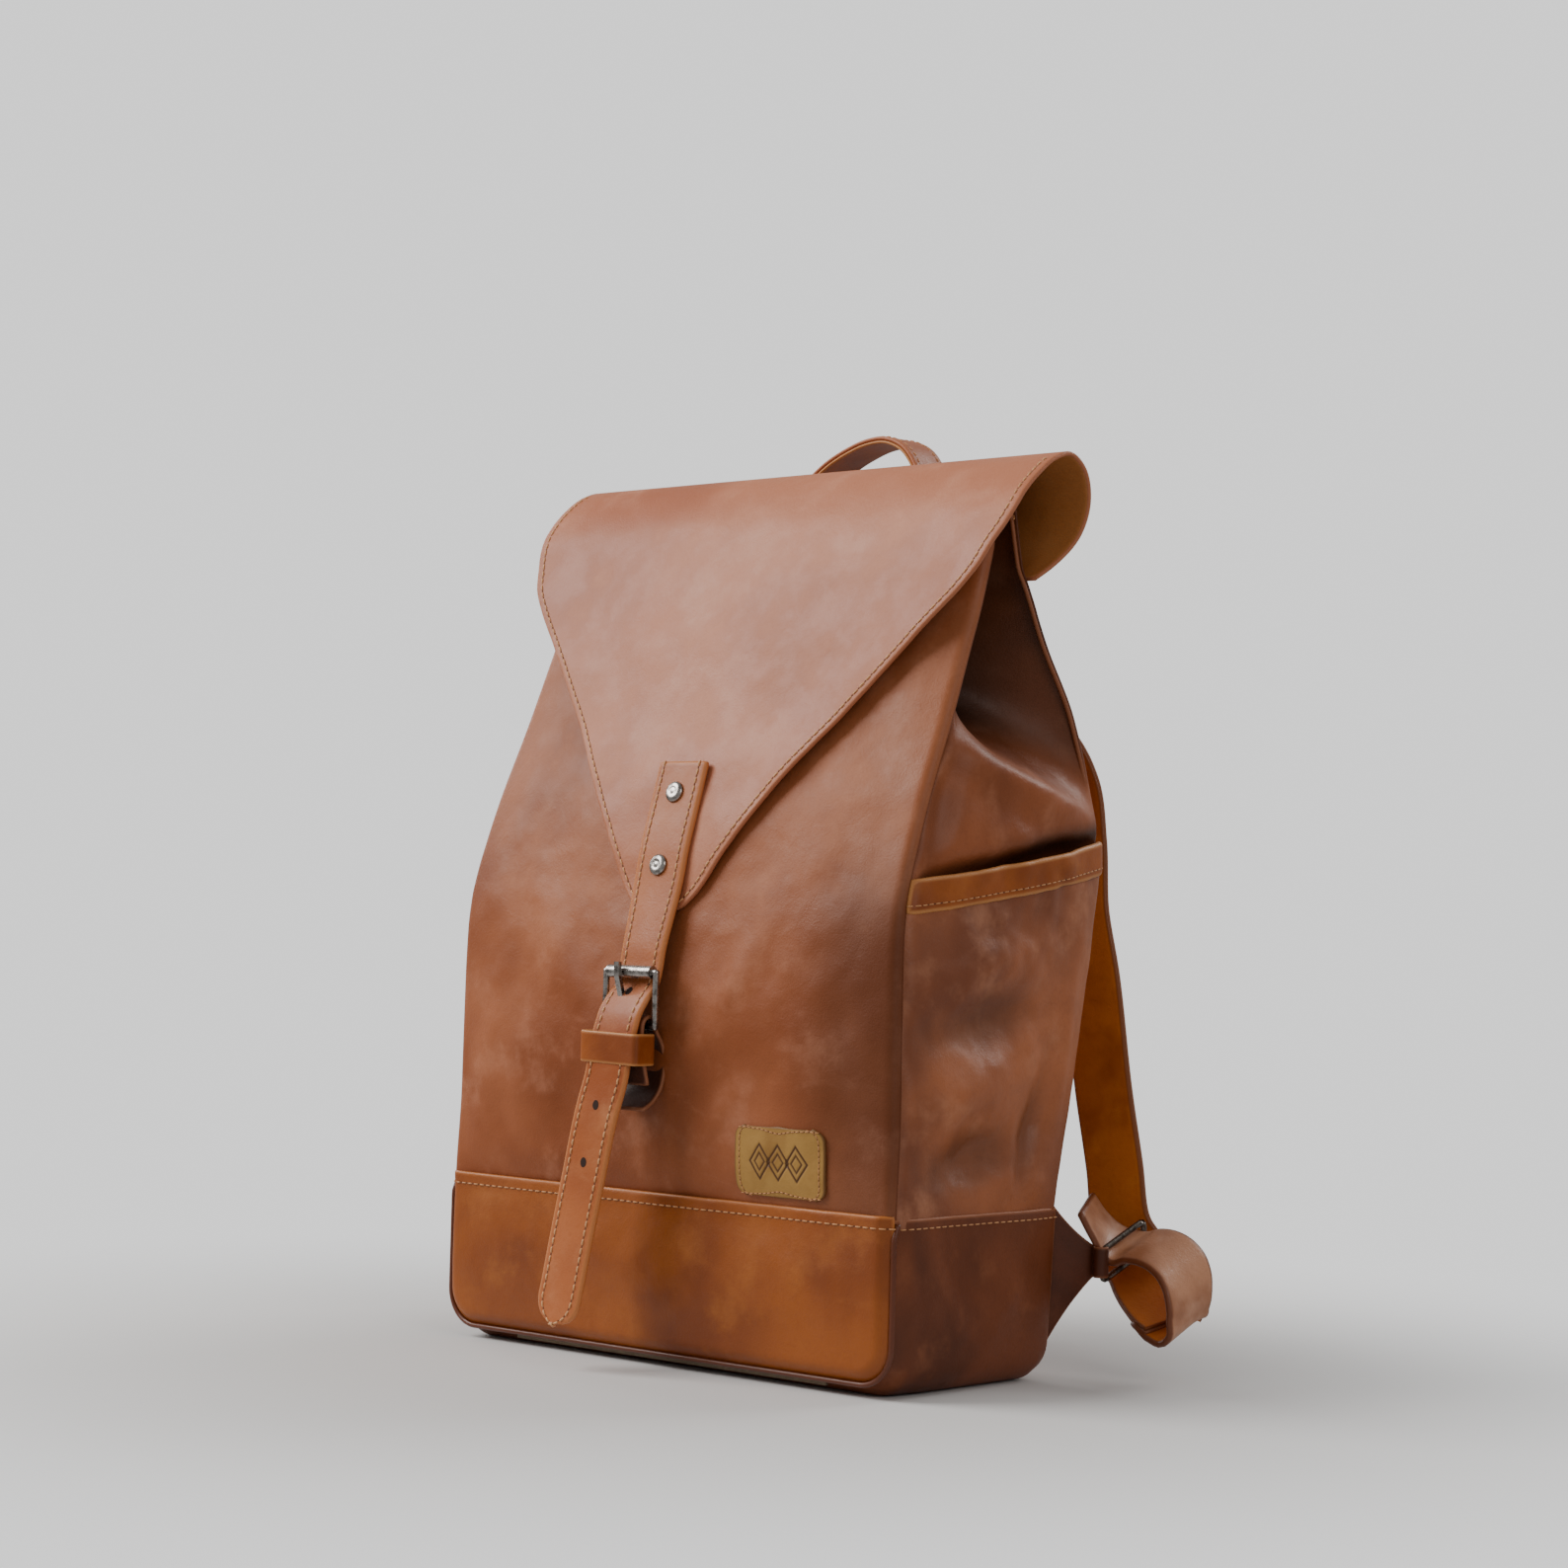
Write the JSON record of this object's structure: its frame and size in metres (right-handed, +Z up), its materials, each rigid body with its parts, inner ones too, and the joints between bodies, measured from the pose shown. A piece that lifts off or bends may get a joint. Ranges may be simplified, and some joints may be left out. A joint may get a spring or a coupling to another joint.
{
  "type": "leather backpack",
  "caption": "Leather backpack with a pointed buckled flap, gusseted sides with slip pockets, a top handle and leather shoulder straps.",
  "frame": {"origin": "middle of the base, on the surface the bag stands on", "axes": "+Z up, the front with the buckle faces -Y, +X to the right seen from the front"},
  "size_m": [0.41, 0.231, 0.4485],
  "materials": {
    "body_leather": "waxed smooth leather, satin",
    "base_leather": "oiled tan leather, satin",
    "side_leather": "waxed dark brown leather, soft gloss",
    "flap_leather": "waxed pinkish tan leather, satin",
    "strap_leather": "oiled tan leather, satin",
    "strap_lining": "orange brown split leather, matt",
    "label_leather": "light tan leather, satin",
    "piping_leather": "dark brown piping, satin",
    "lining_cloth": "woven polyester lining, matt",
    "foam": "closed cell foam, matt",
    "board": "fibre board, matt",
    "antique_nickel": "dark antique nickel, polished"
  },
  "bodies": {
    "bag": {"front_panel": "body_leather", "front_base_band": "base_leather", "front_piping": "piping_leather", "base_gusset": "side_leather", "back_panel": "side_leather", "side_gusset_r": "side_leather", "side_gusset_l": "side_leather", "side_pocket_r": "side_leather", "side_pocket_l": "side_leather", "pocket_band_r": "base_leather", "pocket_band_l": "base_leather", "label_patch": "label_leather", "mouth_facing": "side_leather", "back_foam": "foam", "base_board": "board", "lining_front": "lining_cloth", "lining_back": "lining_cloth", "lining_base": "lining_cloth", "lining_side_r": "lining_cloth", "lining_side_l": "lining_cloth", "inner_pocket": "lining_cloth", "strap_tab_r": "side_leather", "strap_tab_l": "side_leather", "strap_yoke": "side_leather", "flap_curl": "flap_leather", "flap_curl_lining": "strap_lining", "chape": "side_leather"},
    "flap": {"flap_leather": "flap_leather", "flap_lining": "strap_lining", "flap_strap": "strap_leather", "billet": "strap_leather", "flap_rivets": "antique_nickel", "flap_rivet_backs": "antique_nickel"},
    "buckle": {"buckle_frame": "antique_nickel"},
    "roller": {"buckle_roller": "antique_nickel"},
    "prong": {"buckle_prong": "antique_nickel"},
    "keeper_loop": {"keeper": "strap_leather"},
    "handle": {"handle_leather": "flap_leather", "handle_lining": "strap_leather"},
    "shoulder_r": {"shoulder_strap_r": "side_leather", "shoulder_strap_lining_r": "strap_lining"},
    "shoulder_l": {"shoulder_strap_l": "side_leather", "shoulder_strap_lining_l": "strap_lining"},
    "ring_r": {"side_ring_r": "antique_nickel", "lower_strap_r": "side_leather"},
    "ring_l": {"side_ring_l": "antique_nickel", "lower_strap_l": "side_leather"}
  },
  "joints": [
    {"name": "flap_hinge", "type": "hinge", "parent": "bag", "child": "flap", "pos_m": [0, 0.044, 0.4245], "axis": [-1, 0, 0], "range_deg": [0, 155], "deforming": ["billet"]},
    {"name": "buckle_swing", "type": "hinge", "parent": "bag", "child": "buckle", "pos_m": [0, -0.078, 0.157], "axis": [1, 0, 0], "range_deg": [0, 60]},
    {"name": "roller_spin", "type": "hinge", "parent": "buckle", "child": "roller", "pos_m": [0, -0.078, 0.182], "axis": [1, 0, 0], "continuous": true},
    {"name": "prong_swing", "type": "hinge", "parent": "buckle", "child": "prong", "pos_m": [0, -0.078, 0.157], "axis": [1, 0, 0], "range_deg": [0, 45]},
    {"name": "keeper_slide", "type": "slide", "parent": "bag", "child": "keeper_loop", "axis": [0, 0, -1], "range_m": [0, 0.005]},
    {"name": "handle_swing", "type": "hinge", "parent": "bag", "child": "handle", "pos_m": [0, 0.0516, 0.357], "axis": [-1, 0, 0], "range_deg": [0, 60]},
    {"name": "shoulder_swing_r", "type": "hinge", "parent": "bag", "child": "shoulder_r", "pos_m": [0.04, 0.054, 0.3485], "axis": [1, 0, 0], "range_deg": [0, 10]},
    {"name": "shoulder_swing_l", "type": "hinge", "parent": "bag", "child": "shoulder_l", "pos_m": [-0.04, 0.054, 0.3485], "axis": [1, 0, 0], "range_deg": [0, 10]},
    {"name": "ring_swing_r", "type": "hinge", "parent": "bag", "child": "ring_r", "pos_m": [0.155, 0.077, 0.054], "axis": [0, 0, 1], "range_deg": [-8, 12]},
    {"name": "ring_swing_l", "type": "hinge", "parent": "bag", "child": "ring_l", "pos_m": [-0.155, 0.077, 0.054], "axis": [0, 0, -1], "range_deg": [-8, 12]}
  ]
}
